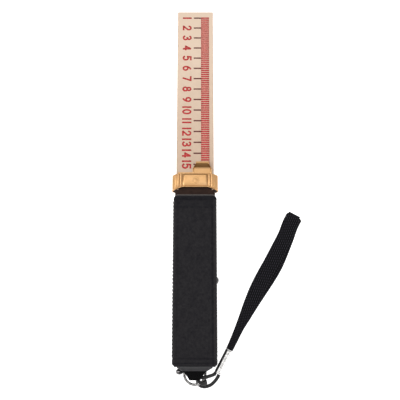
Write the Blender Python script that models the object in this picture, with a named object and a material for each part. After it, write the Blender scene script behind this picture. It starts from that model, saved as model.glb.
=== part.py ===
"""Pocket leveling rod: a graduated channel-section staff that slides out of a flat casing in a
stitched leather sheath, with a fluted gilt collar, a spring catch, and a wrist strap on a shackle.

The rod lies on its back. +Y runs from the strap end to the tip, +X to the right, +Z up.
Lengths are written in millimetres and turned into metres by MM.
"""

import math

import bmesh
import bpy
from mathutils import Vector

MM = 0.001
GAP = 0.3

# Stations along the rod.
TIP_END = 165.2
COLLAR_TOP = 10.1
COLLAR_FRONT_LOW = -1.9
COLLAR_SIDE_LOW = -3.7
SHEATH_TOP = -8.1
SHEATH_BOTTOM = -149.3
CASING_TOP = -9.0
CASING_BOTTOM = -148.6
BAR_Y = -153.3
STUD_Y = -80.0

# Half width (X) and half thickness (Z) of the nested tubes, about the height MID_Z.
MID_Z = 7.8
CASING_HALF = (17.0, 6.5)
BORE_HALF = (16.5, 6.0)
SHEATH_HALF = (18.3, 7.8)
SHEATH_INSIDE = (17.3, 6.8)
COLLAR_MID_Z = 8.3
COLLAR_FLAT = 10.8
COLLAR_END = (9.15, 8.3)
COLLAR_WALL = (0.8, 0.95)
FLUTES = 10

# The staff is a channel with its graduated face up.
STAFF_LOW = -5.3
STAFF_HALF_WIDTH = 16.1
STAFF_FACE = 13.4
STAFF_FOOT = 7.4
SHEET = 0.6
SILL_Z = 7.1
SILL_Y = 3.3

MOUTH_HEM = 4.3
FOOT_HEM = 5.9
SEAM_HALF_HEIGHT = 1.0
STITCH_PITCH = 3.1

# The catch leaf turns on a pin under the collar's front.
CATCH_HINGE = (8.0, 14.55)
CATCH_LEFT = -2.1
CATCH_RIGHT = 14.2
CATCH_STRIP_LEFT = -14.6
CATCH_UNDERSIDE = 13.9
CATCH_SHEET = 0.6

# The shackle's bow droops from its pin.
BAR_Z = 7.0
BOW_RADIUS = 8.5
EYE_HALF = 1.1
BOW_WIRE = 1.1
BOW_DROOP = math.radians(15)
ROOF_UNDERSIDE = 11.6

CORD_RADIUS = 1.4
# The cord leaves the crimp, takes a round turn about the bow's wire and returns below it.
LOOP_ROUTE = [
    (16.6, -153.9, 2.4),
    (15.8, -155.1, 3.1),
    (13.8, -156.0, 4.9),
    (11.2, -156.8, 7.6),
    (8.4, -157.7, 9.1),
    (5.7, -157.8, 8.0),
    (4.9, -157.3, 5.5),
    (7.0, -158.2, 2.5),
    (8.5, -160.8, 2.7),
    (8.5, -162.5, 5.1),
    (6.1, -162.6, 7.6),
    (3.7, -161.2, 7.5),
    (2.6, -160.0, 5.2),
    (2.2, -160.7, 2.6),
    (3.1, -162.9, 1.7),
    (5.4, -164.5, 1.6),
    (8.8, -164.8, 1.6),
    (12.9, -163.4, 1.6),
    (16.1, -160.6, 1.7),
    (18.3, -157.7, 2.1),
    (19.5, -155.5, 2.4),
]
LOOP_STEPS = 64
CRIMP_START = (18.4, -154.0)
CRIMP_END = (27.8, -136.3)
CRIMP_MID_Z = 2.4
# Middle line of the wrist strap, with its width at each point.
STRAP_ROUTE = [
    (28.1, -135.8, 4.7),
    (32.0, -127.9, 5.3),
    (36.7, -118.0, 6.3),
    (41.4, -108.8, 8.8),
    (46.2, -99.2, 12.1),
    (52.6, -87.4, 14.8),
    (59.8, -75.4, 16.4),
    (66.3, -64.3, 16.6),
    (72.4, -52.0, 15.6),
    (77.4, -41.4, 14.4),
    (81.4, -31.3, 13.7),
    (85.2, -24.6, 13.4),
]
STRAP_THICKNESS = 2.9
CRIMPED_EXTRA = 1.2


def clear_scene():
    for item in list(bpy.data.objects):
        bpy.data.objects.remove(item, do_unlink=True)


def material(name, colour, roughness, metallic=0.0):
    made = bpy.data.materials.new(name)
    made.use_nodes = True
    shader = made.node_tree.nodes["Principled BSDF"]
    shader.inputs["Base Color"].default_value = (*colour, 1.0)
    shader.inputs["Roughness"].default_value = roughness
    shader.inputs["Metallic"].default_value = metallic
    return made


def add_object(name, data, finish):
    """A named object with its own copy of the finish."""
    colour, roughness, metallic = finish
    data.materials.append(material(name, colour, roughness, metallic))
    made = bpy.data.objects.new(name, data)
    bpy.context.scene.collection.objects.link(made)
    return made


def mesh_from(name, points, faces, finish, smooth_angle=35.0):
    """A mesh object from points in millimetres; its faces are turned outward."""
    data = bpy.data.meshes.new(name)
    data.from_pydata([Vector(p) * MM for p in points], [], faces)
    shaped = bmesh.new()
    shaped.from_mesh(data)
    bmesh.ops.recalc_face_normals(shaped, faces=shaped.faces)
    shaped.to_mesh(data)
    shaped.free()
    data.shade_smooth()
    data.set_sharp_from_angle(angle=math.radians(smooth_angle))
    return add_object(name, data, finish)


def rounded_rectangle(half, radius, steps=5):
    """Points (x, z) of a rounded rectangle about the casing's middle line."""
    points = []
    for corner in range(4):
        sx = 1 if corner in (0, 3) else -1
        sz = 1 if corner in (0, 1) else -1
        for step in range(steps + 1):
            turn = math.radians(90 * corner + 90 * step / steps)
            x = sx * (half[0] - radius) + radius * math.cos(turn)
            z = sz * (half[1] - radius) + radius * math.sin(turn)
            points.append((x, MID_Z + z))
    return points


def at_station(outline, y):
    """An outline of (x, z) points placed at one station, or at a station for each point."""
    if callable(y):
        return [(px, y(px), pz) for px, pz in outline]
    return [(px, y, pz) for px, pz in outline]


def solid_of_rings(name, rings, finish, capped=True, smooth_angle=35.0):
    """A skin over rings of equal length: capped at both ends, or else closed on itself."""
    count = len(rings[0])
    points = [p for ring in rings for p in ring]
    faces = []
    spans = len(rings) - 1 if capped else len(rings)
    for k in range(spans):
        a = k * count
        b = (k + 1) % len(rings) * count
        for i in range(count):
            j = (i + 1) % count
            faces.append((a + i, a + j, b + j, b + i))
    if capped:
        faces.append(tuple(range(count)))
        faces.append(tuple(len(points) - count + i for i in range(count)))
    return mesh_from(name, points, faces, finish, smooth_angle)


def tube(name, half, wall, low, high, radius, finish):
    """A drawn flat tube, open at both ends."""
    outer = rounded_rectangle(half, radius)
    inner = rounded_rectangle((half[0] - wall, half[1] - wall), radius - wall * 0.8)
    rings = [
        at_station(outer, low),
        at_station(outer, high),
        at_station(inner, high),
        at_station(inner, low),
    ]
    return solid_of_rings(name, rings, finish, capped=False)


def block(name, low, high, finish, bevel=0.0):
    """A box between two corners, with its edges bevelled."""
    points = [
        (x, y, z) for x in (low[0], high[0]) for y in (low[1], high[1]) for z in (low[2], high[2])
    ]
    faces = [(0, 1, 3, 2), (4, 6, 7, 5), (0, 4, 5, 1), (2, 3, 7, 6), (0, 2, 6, 4), (1, 5, 7, 3)]
    made = mesh_from(name, points, faces, finish)
    if bevel:
        edge = made.modifiers.new("edges", "BEVEL")
        edge.width = bevel * MM
        edge.segments = 2
        edge.limit_method = "ANGLE"
    return made


def turned(name, profile, centre, along, finish, sides=24):
    """A solid of revolution: profile holds (distance along the axis, radius), end radii above 0."""
    rings = []
    for reach, radius in profile:
        ring = []
        for side in range(sides):
            turn = 2 * math.pi * side / sides
            across = (radius * math.cos(turn), radius * math.sin(turn))
            offset = (reach, *across) if along == "x" else (*across, reach)
            ring.append(tuple(c + o for c, o in zip(centre, offset)))
        rings.append(ring)
    return solid_of_rings(name, rings, finish, smooth_angle=50.0)


def smooth_line(route, count):
    """Points spaced evenly along a Catmull-Rom curve through the route's points."""
    padded = [route[0], *route, route[-1]]
    fine = []
    for k in range(len(route) - 1):
        p0, p1, p2, p3 = (Vector(padded[k + i]) for i in range(4))
        for step in range(12):
            t = step / 12
            fine.append(
                0.5
                * (
                    2 * p1
                    + (p2 - p0) * t
                    + (2 * p0 - 5 * p1 + 4 * p2 - p3) * t**2
                    + (3 * p1 - p0 - 3 * p2 + p3) * t**3
                )
            )
    fine.append(Vector(route[-1]))
    travelled = [0.0]
    for a, b in zip(fine, fine[1:]):
        travelled.append(travelled[-1] + (b - a).length)
    line = []
    k = 0
    for i in range(count):
        wanted = travelled[-1] * i / (count - 1)
        while k < len(fine) - 2 and travelled[k + 1] < wanted:
            k += 1
        share = (wanted - travelled[k]) / (travelled[k + 1] - travelled[k])
        line.append(fine[k].lerp(fine[k + 1], share))
    return line


def wire(name, line, radius, finish):
    """A round wire or cord along a line of points."""
    data = bpy.data.curves.new(name, "CURVE")
    data.dimensions = "3D"
    data.bevel_depth = radius * MM
    data.bevel_resolution = 2
    data.use_fill_caps = True
    spline = data.splines.new("POLY")
    spline.points.add(len(line) - 1)
    for point, place in zip(spline.points, line):
        point.co = (*(Vector(place) * MM), 1.0)
    return add_object(name, data, finish)


def cut(target, cutter):
    """Cuts the cutter out of the target for good, and removes the cutter."""
    difference = target.modifiers.new("cut", "BOOLEAN")
    difference.operation = "DIFFERENCE"
    difference.object = cutter
    graph = bpy.context.evaluated_depsgraph_get()
    shaped = bpy.data.meshes.new_from_object(target.evaluated_get(graph))
    target.modifiers.clear()
    target.data = shaped
    bpy.data.objects.remove(cutter, do_unlink=True)


GILT = ((0.72, 0.47, 0.22), 0.28, 1.0)
BEIGE = ((0.80, 0.68, 0.53), 0.5, 0.0)
STEEL = ((0.62, 0.62, 0.60), 0.3, 1.0)
CHROME = ((0.82, 0.82, 0.82), 0.12, 1.0)
LEATHER = ((0.024, 0.023, 0.027), 0.6, 0.0)
BLACK = ((0.02, 0.02, 0.022), 0.45, 0.0)
WEBBING = ((0.018, 0.018, 0.02), 0.75, 0.0)
NYLON = ((0.70, 0.68, 0.62), 0.5, 0.0)
RUBBER = ((0.03, 0.03, 0.03), 0.8, 0.0)


def join(pieces, name):
    """One body from overlapping pieces, in the first piece's finish."""
    base = pieces[0]
    for other in pieces[1:]:
        union = base.modifiers.new("join", "BOOLEAN")
        union.operation = "UNION"
        union.object = other
    graph = bpy.context.evaluated_depsgraph_get()
    shaped = bpy.data.meshes.new_from_object(base.evaluated_get(graph))
    base.modifiers.clear()
    base.data = shaped
    base.name = name
    for other in pieces[1:]:
        bpy.data.objects.remove(other, do_unlink=True)
    return base


def channel_outline():
    """The staff's section: a face with two flanges turned down."""
    outer_radius = 0.8
    points = []
    for inset, backward in ((0.0, False), (SHEET, True)):
        radius = outer_radius - inset
        half = STAFF_HALF_WIDTH - inset
        top = STAFF_FACE - inset
        path = [(half, STAFF_FOOT)]
        for side in (1, -1):
            for step in range(4):
                turn = math.radians(30 * step)
                if side == -1:
                    turn = math.radians(90) - turn
                x = side * (half - radius + radius * math.cos(turn))
                path.append((x, top - radius + radius * math.sin(turn)))
        path.append((-half, STAFF_FOOT))
        points += path[::-1] if backward else path
    return points


def staff():
    outline = channel_outline()
    rings = [at_station(outline, y) for y in (STAFF_LOW, TIP_END)]
    face = solid_of_rings("rod_staff", rings, BEIGE)
    under = STAFF_FACE - SHEET - GAP
    inside = STAFF_HALF_WIDTH - SHEET - GAP
    block("tip_plug", (-inside, TIP_END - 6.2, STAFF_FOOT), (inside, TIP_END - 0.2, under), BLACK, 0.3)
    heel_low = 3.0
    heel = block(
        "staff_heel", (-inside, STAFF_LOW + 0.3, heel_low), (inside, SILL_Y - GAP, under), NYLON, 0.2
    )
    for number, x in enumerate((-9.0, 9.0), 1):
        place = (x, -1.0, 0)
        cut(face, turned("hole", [(STAFF_FACE - 1.5, 1.5), (STAFF_FACE + 1, 1.5)], place, "z", BEIGE))
        cut(heel, turned("hole", [(heel_low - 1, 1.1), (under + 1, 1.1)], place, "z", NYLON))
        profile = [
            (heel_low - 0.8, 1.1),
            (heel_low - 0.6, 1.4),
            (heel_low - GAP, 1.4),
            (heel_low - GAP, 0.8),
            (under + 0.3, 0.8),
            (under + 0.3, 1.2),
            (STAFF_FACE - 0.1, 1.2),
        ]
        turned(f"heel_rivet_{number}", profile, place, "z", STEEL, 16)
    for name, side in (("guide_shoe_left", -1), ("guide_shoe_right", 1)):
        edges = sorted((side * (inside + GAP), side * (STAFF_HALF_WIDTH + 0.1)))
        low = (edges[0], STAFF_LOW, 4.4)
        block(name, low, (edges[1], SILL_Y - GAP, STAFF_FOOT - GAP), NYLON)


def casing():
    tube("casing_tube", CASING_HALF, 0.5, CASING_BOTTOM, CASING_TOP, 1.7, BLACK)
    block("end_bumper", (-15.0, -143.3, 2.6), (15.0, -141.9, 13.0), RUBBER, 0.2)


def half_ellipse_outline(end, flutes=0, ripple=0.0):
    """A flat front and back joined by half ellipses, which can be fluted."""
    points = []
    end_steps = 40
    for side in (1, -1):
        for step in range(end_steps + 1):
            share = step / end_steps
            turn = math.pi * (0.5 - share)
            wave = ripple * (1 - abs(math.sin(math.pi * flutes * share)))
            x = COLLAR_FLAT + (end[0] - wave) * math.cos(turn)
            z = (end[1] - wave * abs(math.sin(turn))) * math.sin(turn)
            points.append((side * x, COLLAR_MID_Z + side * z))
    return points


def collar_skirt(x):
    """The skirt's lower edge is higher over the flat front and back than at the sides."""
    drop = min(max((abs(x) - COLLAR_FLAT) / 5.8, 0.0), 1.0)
    return COLLAR_FRONT_LOW + (COLLAR_SIDE_LOW - COLLAR_FRONT_LOW) * drop


def collar():
    ripple = 0.45
    body = half_ellipse_outline((COLLAR_END[0] - 0.25, COLLAR_END[1] - 0.25), FLUTES, ripple)
    bead = half_ellipse_outline(COLLAR_END, FLUTES, 0.2)
    crown = half_ellipse_outline((COLLAR_END[0] - 0.5, COLLAR_END[1] - 0.5), FLUTES, ripple)
    cavity = half_ellipse_outline((COLLAR_END[0] - COLLAR_WALL[0], COLLAR_END[1] - COLLAR_WALL[1]))
    rings = [
        at_station(bead, collar_skirt),
        at_station(bead, lambda x: collar_skirt(x) + 0.8),
        at_station(body, lambda x: collar_skirt(x) + 1.1),
        at_station(body, COLLAR_TOP - 0.5),
        at_station(crown, COLLAR_TOP),
        at_station(cavity, COLLAR_TOP),
        at_station(cavity, collar_skirt),
    ]
    shell = solid_of_rings("collar_blank", rings, GILT, capped=False, smooth_angle=30.0)
    front = COLLAR_MID_Z + COLLAR_END[1]
    pieces = [shell, turned("boss", [(front - 0.8, 2.4), (front + 0.2, 2.4)], (0.6, 4.1, 0), "z", GILT)]
    hinge_y, hinge_z = CATCH_HINGE
    for low_x in (-13.6, 12.3):
        lug_low = (low_x, hinge_y - 0.8, CATCH_UNDERSIDE)
        pieces.append(block("lug", lug_low, (low_x + 1.0, hinge_y + 0.8, front - 1.05), GILT))
    shell = join(pieces, "collar")
    cut(shell, turned("hole", [(-15.0, 0.6), (15.0, 0.6)], (0, hinge_y, hinge_z), "x", GILT, 12))
    guide = mouth_guide()
    for number, x in enumerate((-9.0, 9.0), 1):
        place = (x, 6.2, 0)
        cut(shell, turned("hole", [(-1.0, 1.9), (3.0, 1.9)], place, "z", GILT))
        cut(guide, turned("hole", [(0.5, 1.2), (6.3, 1.2)], place, "z", BLACK))
        profile = [(0.3, 1.5), (0.9, 1.5), (0.9, 0.9), (6.0, 0.9)]
        turned(f"collar_screw_{number}", profile, place, "z", STEEL, 16)


def mouth_guide():
    """A neck that closes the casing's mouth, and a cradle with a sill that stops the heel."""
    cavity_end = (COLLAR_END[0] - COLLAR_WALL[0] - GAP, COLLAR_END[1] - COLLAR_WALL[1] - GAP)
    lining = half_ellipse_outline(cavity_end)
    rings = [at_station(lining, y) for y in (-3.1, COLLAR_TOP - 0.5)]
    cradle = solid_of_rings("cradle", rings, BLACK)
    cut(cradle, block("cutter", (-20, -12, 12.0), (20, 12, 20), BLACK))
    neck = rounded_rectangle(CASING_HALF, 1.7)
    rings = [at_station(neck, y) for y in (CASING_TOP + GAP, -3.9)]
    throat = rounded_rectangle((CASING_HALF[0] - 1.0, CASING_HALF[1] - 0.1), 3.4)
    rings += [at_station(throat, y) for y in (-3.9, -1.2)]
    guide = join([cradle, solid_of_rings("neck", rings, BLACK)], "mouth_guide")
    bore = rounded_rectangle(BORE_HALF, 1.2)
    rings = [at_station(bore, y) for y in (CASING_TOP - 1, SILL_Y)]
    cut(guide, solid_of_rings("cutter", rings, BLACK))
    slot_half = BORE_HALF[0] + 0.1
    cut(guide, block("cutter", (-slot_half, SILL_Y - 0.5, SILL_Z), (slot_half, 12, 20), BLACK))
    return guide


def friction_spring():
    """A bowed leaf on the sill, which bears on the underside of the staff's face."""
    low_y, high_y = SILL_Y + 0.7, COLLAR_TOP - 1.0
    thick = 0.35
    rise = STAFF_FACE - SHEET - GAP - SILL_Z - GAP - thick
    outer = []
    inner = []
    for step in range(13):
        share = step / 12
        y = low_y + (high_y - low_y) * share
        z = SILL_Z + GAP + rise * math.sin(math.pi * share) ** 0.7
        outer.append((y, z + thick))
        inner.append((y, z))
    side = outer + inner[::-1]
    rings = [[(x, y, z) for y, z in side] for x in (-6.0, 6.0)]
    solid_of_rings("friction_spring", rings, STEEL)


def catch_tray(y, height, rim, narrow=0.0):
    """The catch tab's section: a flat sheet with raised side rims, narrower towards the lip."""
    sheet = CATCH_SHEET
    left = CATCH_LEFT + narrow
    right = CATCH_RIGHT - 0.85 * narrow
    return [
        (left, y, height),
        (right, y, height),
        (right, y, height + sheet + rim),
        (right - 0.6, y, height + sheet + rim),
        (right - 1.3, y, height + sheet),
        (left + 1.3, y, height + sheet),
        (left + 0.6, y, height + sheet + rim),
        (left, y, height + sheet + rim),
    ]


def spring_catch():
    hinge_y, hinge_z = CATCH_HINGE
    low = CATCH_UNDERSIDE
    top = low + CATCH_SHEET
    rings = [
        catch_tray(11.0, low, 0.02),
        catch_tray(12.0, low, 0.3),
        catch_tray(14.4, low, 0.6),
        catch_tray(15.2, low + 0.3, 0.9, 0.4),
        catch_tray(17.9, low + 2.5, 0.6, 2.4),
        catch_tray(18.9, low + 3.0, 0.15, 2.8),
        catch_tray(20.4, low + 2.9, 0.02, 2.9),
    ]
    tab = solid_of_rings("tab", rings, GILT, smooth_angle=25.0)
    strip = block("strip", (CATCH_STRIP_LEFT, 9.1, low), (CATCH_RIGHT, 11.6, top), GILT)
    web = block("web", (-12.0, hinge_y, low + 0.05), (11.9, 9.6, top - 0.05), GILT)
    knuckle = turned("knuckle", [(-12.3, 0.75), (12.0, 0.75)], (0, hinge_y, hinge_z), "x", GILT, 16)
    leaf = join([tab, strip, web, knuckle], "catch_leaf")
    cut(leaf, turned("hole", [(-20.0, 0.6), (20.0, 0.6)], (0, hinge_y, hinge_z), "x", GILT, 12))
    turned("catch_hinge_pin", [(-13.5, 0.3), (13.2, 0.3)], (0, hinge_y, hinge_z), "x", STEEL, 8)


def shoulder(limit, radius, end, inward):
    """A hem edge's station at each x: straight across, then curved in at the corners."""

    def station(x):
        past = min(max((abs(x) - limit) / radius, 0.0), 1.0)
        return end + inward * radius * (1 - math.sqrt(1 - past * past))

    return station


def panel_section(y, front):
    """One leather panel's section: outside from edge to edge, then inside and back."""
    side = 1 if front else -1
    points = []
    for half, radius, backward in ((SHEATH_HALF, 3.0, False), (SHEATH_INSIDE, 2.0, True)):
        path = [(-half[0], SEAM_HALF_HEIGHT + 0.15)]
        for corner in (-1, 1):
            for step in range(6):
                turn = math.radians(18 * step)
                if corner == 1:
                    turn = math.radians(90) - turn
                x = corner * (half[0] - radius + radius * math.cos(turn))
                path.append((x, half[1] - radius + radius * math.sin(turn)))
        path.append((half[0], SEAM_HALF_HEIGHT + 0.15))
        points += path[::-1] if backward else path
    return [(x, y, MID_Z + side * z) for x, z in points]


def seam_section(y, side):
    """A seam's thread, which swells at each whipped stitch."""
    swell = 0.42 * abs(math.sin(math.pi * (y - SHEATH_TOP) / STITCH_PITCH))
    outer = SHEATH_HALF[0] + swell
    half = SEAM_HALF_HEIGHT - 0.15
    inner = SHEATH_INSIDE[0] + 0.05
    points = [(inner, -half), (outer - 0.3, -half), (outer, -0.35), (outer, 0.35), (outer - 0.3, half)]
    return [(side * x, y, MID_Z + z) for x, z in [*points, (inner, half)]]


def hem(name, stations, inner_ends):
    """A rolled leather hem: rings from its free edge inward, then its inside back out."""
    rings = []
    for station, inset in stations:
        half = (SHEATH_HALF[0] - inset * 0.6, SHEATH_HALF[1] - inset)
        rings.append(at_station(rounded_rectangle(half, 3.0 - inset), station))
    for station in inner_ends:
        rings.append(at_station(rounded_rectangle(SHEATH_INSIDE, 2.0), station))
    solid_of_rings(name, rings, LEATHER, capped=False)


def sheath():
    mouth_end = SHEATH_TOP - MOUTH_HEM
    foot_start = SHEATH_BOTTOM + FOOT_HEM
    panel_top = mouth_end - GAP
    panel_low = foot_start + GAP
    for name, front in (("sheath_front_panel", True), ("sheath_back_panel", False)):
        rings = [panel_section(y, front) for y in (panel_low, panel_top)]
        solid_of_rings(name, rings, LEATHER)
    rows = round((panel_top - panel_low) / STITCH_PITCH * 4)
    for name, side in (("seam_thread_left", -1), ("seam_thread_right", 1)):
        rings = []
        for row in range(rows + 1):
            rings.append(seam_section(panel_low + (panel_top - panel_low) * row / rows, side))
        solid_of_rings(name, rings, WEBBING)
    mouth = [(shoulder(14.6, 3.7, SHEATH_TOP - back, -1), inset) for back, inset in ((0, 0.7), (0.4, 0.1))]
    mouth_edge = shoulder(14.6, 3.7, SHEATH_TOP, -1)
    hem("sheath_mouth_hem", [*mouth, (mouth_end, 0.0)], (mouth_end, mouth_edge))
    foot = [(shoulder(16.0, 2.3, SHEATH_BOTTOM + back, 1), inset) for back, inset in ((0, 0.6), (0.5, 0.0))]
    foot_edge = shoulder(16.0, 2.3, SHEATH_BOTTOM, 1)
    hem("sheath_foot_hem", [*foot, (foot_start, 0.0)], (foot_start, foot_edge))
    profile = [(0.55, 2.6), (0.8, 2.55), (1.05, 2.1), (1.25, 1.3), (1.3, 0.4)]
    turned("side_snap_stud", profile, (SHEATH_HALF[0], STUD_Y, MID_Z), "x", BLACK, 20)


def roof_section(y, half, top):
    """The end cap's roof: a flat plate with its upper edges taken off."""
    slope = 0.6
    bottom = ROOF_UNDERSIDE
    return [
        (half, y, bottom),
        (half, y, top - slope),
        (half - slope, y, top),
        (slope - half, y, top),
        (-half, y, top - slope),
        (-half, y, bottom),
    ]


def end_cap():
    spigot = (BORE_HALF[0] - GAP, BORE_HALF[1] - GAP)
    flange = (CASING_HALF[0] - 0.4, CASING_HALF[1] - 0.4)
    rings = [
        at_station(rounded_rectangle(spigot, 1.0), -143.6),
        at_station(rounded_rectangle(spigot, 1.0), CASING_BOTTOM - GAP),
        at_station(rounded_rectangle(flange, 1.7), CASING_BOTTOM - GAP),
        at_station(rounded_rectangle(flange, 1.7), SHEATH_BOTTOM - GAP),
        at_station(rounded_rectangle((14.2, 6.2), 1.7), SHEATH_BOTTOM - GAP),
        at_station(rounded_rectangle((14.2, 6.2), 1.7), -150.6),
    ]
    plug = solid_of_rings("plug", rings, BLACK)
    rings = [
        roof_section(-149.9, 13.9, 13.9),
        roof_section(-150.7, 13.9, 13.9),
        roof_section(-152.8, 10.1, 13.3),
        roof_section(-154.3, 8.3, 13.0),
        roof_section(-157.3, 5.8, 12.9),
        roof_section(-160.0, 4.2, 12.8),
    ]
    roof = solid_of_rings("roof", rings, BLACK)
    tongue = block("tongue", (-2.0, -156.3, 3.4), (2.0, -150.0, ROOF_UNDERSIDE + 0.6), BLACK)
    cap = join([plug, roof, tongue], "end_cap")
    cut(cap, turned("hole", [(-12.0, 1.4), (12.0, 1.4)], (0, BAR_Y, BAR_Z), "x", BLACK, 20))
    tube_object = bpy.data.objects["casing_tube"]
    for number, x in enumerate((-10.0, 10.0), 1):
        place = (x, -146.4, MID_Z)
        hole = [(4.0, 1.3), (8.0, 1.3)]
        cut(cap, turned("hole", hole, place, "z", BLACK))
        cut(tube_object, turned("hole", hole, place, "z", BLACK))
        turned(f"end_cap_pin_{number}", [(4.3, 1.0), (6.45, 1.0)], place, "z", STEEL, 16)


def bow_line():
    """The bow's wire: a leg, a half circle and the other leg, all in the drooping plane."""
    flat = [(BOW_RADIUS, 0.0)]
    for step in range(17):
        turn = math.pi * step / 16
        flat.append((BOW_RADIUS * math.cos(turn), 1.8 + BOW_RADIUS * math.sin(turn)))
    flat.append((-BOW_RADIUS, 0.0))
    line = []
    for x, reach in flat:
        line.append((x, BAR_Y - reach * math.cos(BOW_DROOP), BAR_Z - reach * math.sin(BOW_DROOP)))
    return line


def shackle():
    centre = (0, BAR_Y, BAR_Z)
    bow = wire("bow", bow_line(), BOW_WIRE, CHROME)
    graph = bpy.context.evaluated_depsgraph_get()
    bow_mesh = bpy.data.meshes.new_from_object(bow.evaluated_get(graph))
    bpy.data.objects.remove(bow, do_unlink=True)
    pieces = [bpy.data.objects.new("bow", bow_mesh)]
    bpy.context.scene.collection.objects.link(pieces[0])
    for side in (-1, 1):
        ends = sorted((side * (BOW_RADIUS - EYE_HALF), side * (BOW_RADIUS + EYE_HALF)))
        eye = [(ends[0], 1.9), (ends[0] + 0.4, 2.3), (ends[1] - 0.4, 2.3), (ends[1], 1.9)]
        pieces.append(turned("eye", eye, centre, "x", CHROME, 20))
    bow = join(pieces, "shackle_bow")
    cut(bow, turned("hole", [(-12.0, 1.3), (12.0, 1.3)], centre, "x", CHROME, 20))
    profile = [
        (-15.1, 1.0),
        (-14.7, 1.9),
        (-13.9, 2.3),
        (-10.6, 2.3),
        (-9.9, 1.9),
        (-9.6, 1.0),
        (9.6, 1.0),
    ]
    turned("shackle_pin", profile, centre, "x", CHROME, 20)


def crimp_section(place, across, outline):
    return [tuple(place + across * a + Vector((0, 0, z))) for a, z in outline]


def lanyard():
    wire("lanyard_loop", smooth_line(LOOP_ROUTE, LOOP_STEPS), CORD_RADIUS, WEBBING)
    start = Vector((*CRIMP_START, CRIMP_MID_Z))
    end = Vector((*CRIMP_END, CRIMP_MID_Z))
    along = (end - start).normalized()
    across = Vector((along.y, -along.x, 0))
    core = [(-2.9, -1.0), (-2.3, -1.4), (1.6, -1.4), (2.1, -1.0), (2.1, 1.0), (1.6, 1.4), (-2.3, 1.4)]
    core.append((-2.9, 1.0))
    rings = [crimp_section(place, across, core) for place in (start, end)]
    solid_of_rings("cord_core", rings, WEBBING)
    sleeve = [(-0.9, -2.2), (2.0, -2.2), (2.9, -1.3), (2.9, 1.3), (2.0, 2.2), (-0.9, 2.2), (-0.9, 1.7)]
    sleeve += [(1.8, 1.7), (2.4, 1.1), (2.4, -1.1), (1.8, -1.7), (-0.9, -1.7)]
    rings = [crimp_section(place, across, sleeve) for place in (start, end)]
    solid_of_rings("crimp_sleeve", rings, CHROME)


def wrist_strap():
    """The folded webbing as one plain solid, from the crimp to the fold at its far end."""
    centres = [Vector((x, y, 0)) for x, y, _ in STRAP_ROUTE]
    rings = []
    last = len(centres) - 1
    for i, centre in enumerate(centres):
        along = (centres[min(i + 1, last)] - centres[max(i - 1, 0)]).normalized()
        across = Vector((along.y, -along.x, 0))
        half = STRAP_ROUTE[i][2] / 2
        high = STRAP_THICKNESS + CRIMPED_EXTRA * max(0.0, 1 - i / 3)
        corners = ((-half, 0.0), (half, 0.0), (half, high), (-half, high))
        rings.append([tuple(centre + across * a + Vector((0, 0, z))) for a, z in corners])
    solid_of_rings("wrist_strap", rings, WEBBING)


def hang_on(pivot_name, place, piece_names):
    """Parents pieces to an empty on their joint's axis, without moving them."""
    pivot = bpy.data.objects.new(pivot_name, None)
    bpy.context.scene.collection.objects.link(pivot)
    pivot.location = Vector(place) * MM
    for name in piece_names:
        piece = bpy.data.objects[name]
        piece.parent = pivot
        piece.location = -pivot.location


def hang_moving_pieces():
    staff_pieces = [
        "rod_staff",
        "tip_plug",
        "staff_heel",
        "heel_rivet_1",
        "heel_rivet_2",
        "guide_shoe_left",
        "guide_shoe_right",
    ]
    hang_on("staff_slide_pivot", (0, 0, MID_Z), staff_pieces)
    hang_on("catch_pivot", (0, *CATCH_HINGE), ["catch_leaf"])
    strap_pieces = ["lanyard_loop", "cord_core", "crimp_sleeve", "wrist_strap"]
    hang_on("shackle_pivot", (0, BAR_Y, BAR_Z), ["shackle_bow", "shackle_pin", *strap_pieces])


def main():
    clear_scene()
    staff()
    casing()
    collar()
    friction_spring()
    spring_catch()
    sheath()
    end_cap()
    shackle()
    lanyard()
    wrist_strap()
    hang_moving_pieces()


main()
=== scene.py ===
"""The looks of a pocket leveling rod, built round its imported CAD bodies.

Lengths are written in millimetres and turned into metres by MM. The rod lies on its back: +Y runs
to the staff's tip, +Z out of the graduated face.
"""

import math

import bmesh
import bpy
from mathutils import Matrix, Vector, noise


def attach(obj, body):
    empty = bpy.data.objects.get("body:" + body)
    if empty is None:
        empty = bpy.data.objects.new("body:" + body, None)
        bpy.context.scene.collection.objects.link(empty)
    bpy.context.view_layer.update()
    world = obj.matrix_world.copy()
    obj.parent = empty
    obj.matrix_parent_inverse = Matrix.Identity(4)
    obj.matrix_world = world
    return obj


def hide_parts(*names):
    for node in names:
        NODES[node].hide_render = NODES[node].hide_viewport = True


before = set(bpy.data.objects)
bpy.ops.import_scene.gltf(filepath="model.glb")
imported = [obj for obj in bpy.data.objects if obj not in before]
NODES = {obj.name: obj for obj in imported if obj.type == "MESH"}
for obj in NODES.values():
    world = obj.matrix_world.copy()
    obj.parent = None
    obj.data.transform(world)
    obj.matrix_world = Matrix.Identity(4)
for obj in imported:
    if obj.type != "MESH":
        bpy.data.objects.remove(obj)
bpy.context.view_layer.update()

MM = 0.001

# Sheath and collar sizes, as in the CAD model.
MID_Z = 7.8
SHEATH_HALF = (18.3, 7.8)
SHEATH_INSIDE = (17.3, 6.8)
SHEATH_TOP = -8.1
SHEATH_BOTTOM = -149.3
MOUTH_HEM_END = SHEATH_TOP - 4.3
MOUTH_BAND_END = -19.0
FOOT_HEM_LINES = (-143.4, -147.0)
CREASE_X = 14.5
STITCH_PITCH = 3.1
COLLAR_TOP = 10.1
COLLAR_FRONT_LOW = -1.9
COLLAR_SIDE_LOW = -3.7
COLLAR_MID_Z = 8.3
COLLAR_FLAT = 10.8
COLLAR_END = (9.15, 8.3)
COLLAR_WALL = (0.8, 0.95)
FLUTES = 10
GROOVE_DEPTH = 0.35
CATCH_BEND = (15.9, 19.2)
CATCH_BEND_HALF = 7.3
CATCH_MID_X = 6.05

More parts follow.
